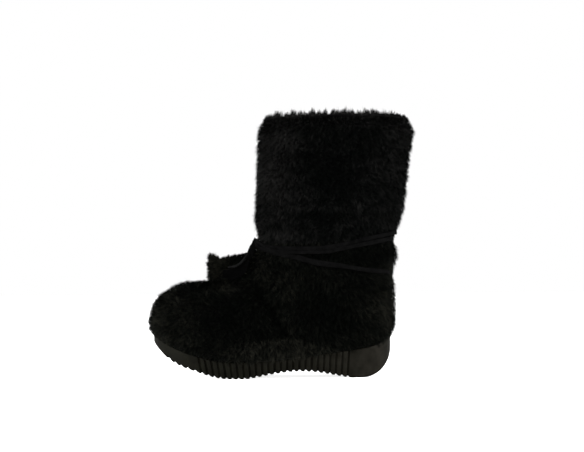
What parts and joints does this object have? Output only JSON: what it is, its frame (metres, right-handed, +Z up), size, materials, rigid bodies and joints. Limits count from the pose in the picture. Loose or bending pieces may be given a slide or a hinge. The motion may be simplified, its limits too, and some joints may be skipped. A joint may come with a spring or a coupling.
{
  "type": "mukluk boot",
  "caption": "Ankle-high fur-out mukluk boot for the left foot, on a ribbed rubber sole, with thongs wound round the ankle and two leaf-shaped hide tabs.",
  "frame": {"origin": "on the floor, at the middle of the heel's flat spot", "axes": "-X towards the toe, -Y towards the outer side of this left boot, +Z up"},
  "size_m": [0.3161, 0.1123, 0.3116],
  "materials": {
    "dark_rubber": "satin moulded rubber",
    "footbed_felt": "felt",
    "black_fur": "plush fur",
    "black_suede": "suede"
  },
  "bodies": {
    "root": {"outsole": "dark_rubber", "insole": "footbed_felt", "upper": "black_fur", "lace_wraps": "black_suede", "lace_knot": "black_suede", "lace_end_fur": "black_suede", "lace_end_suede": "black_suede", "tab_fur": "black_fur", "tab_suede": "black_suede"}
  },
  "joints": []
}
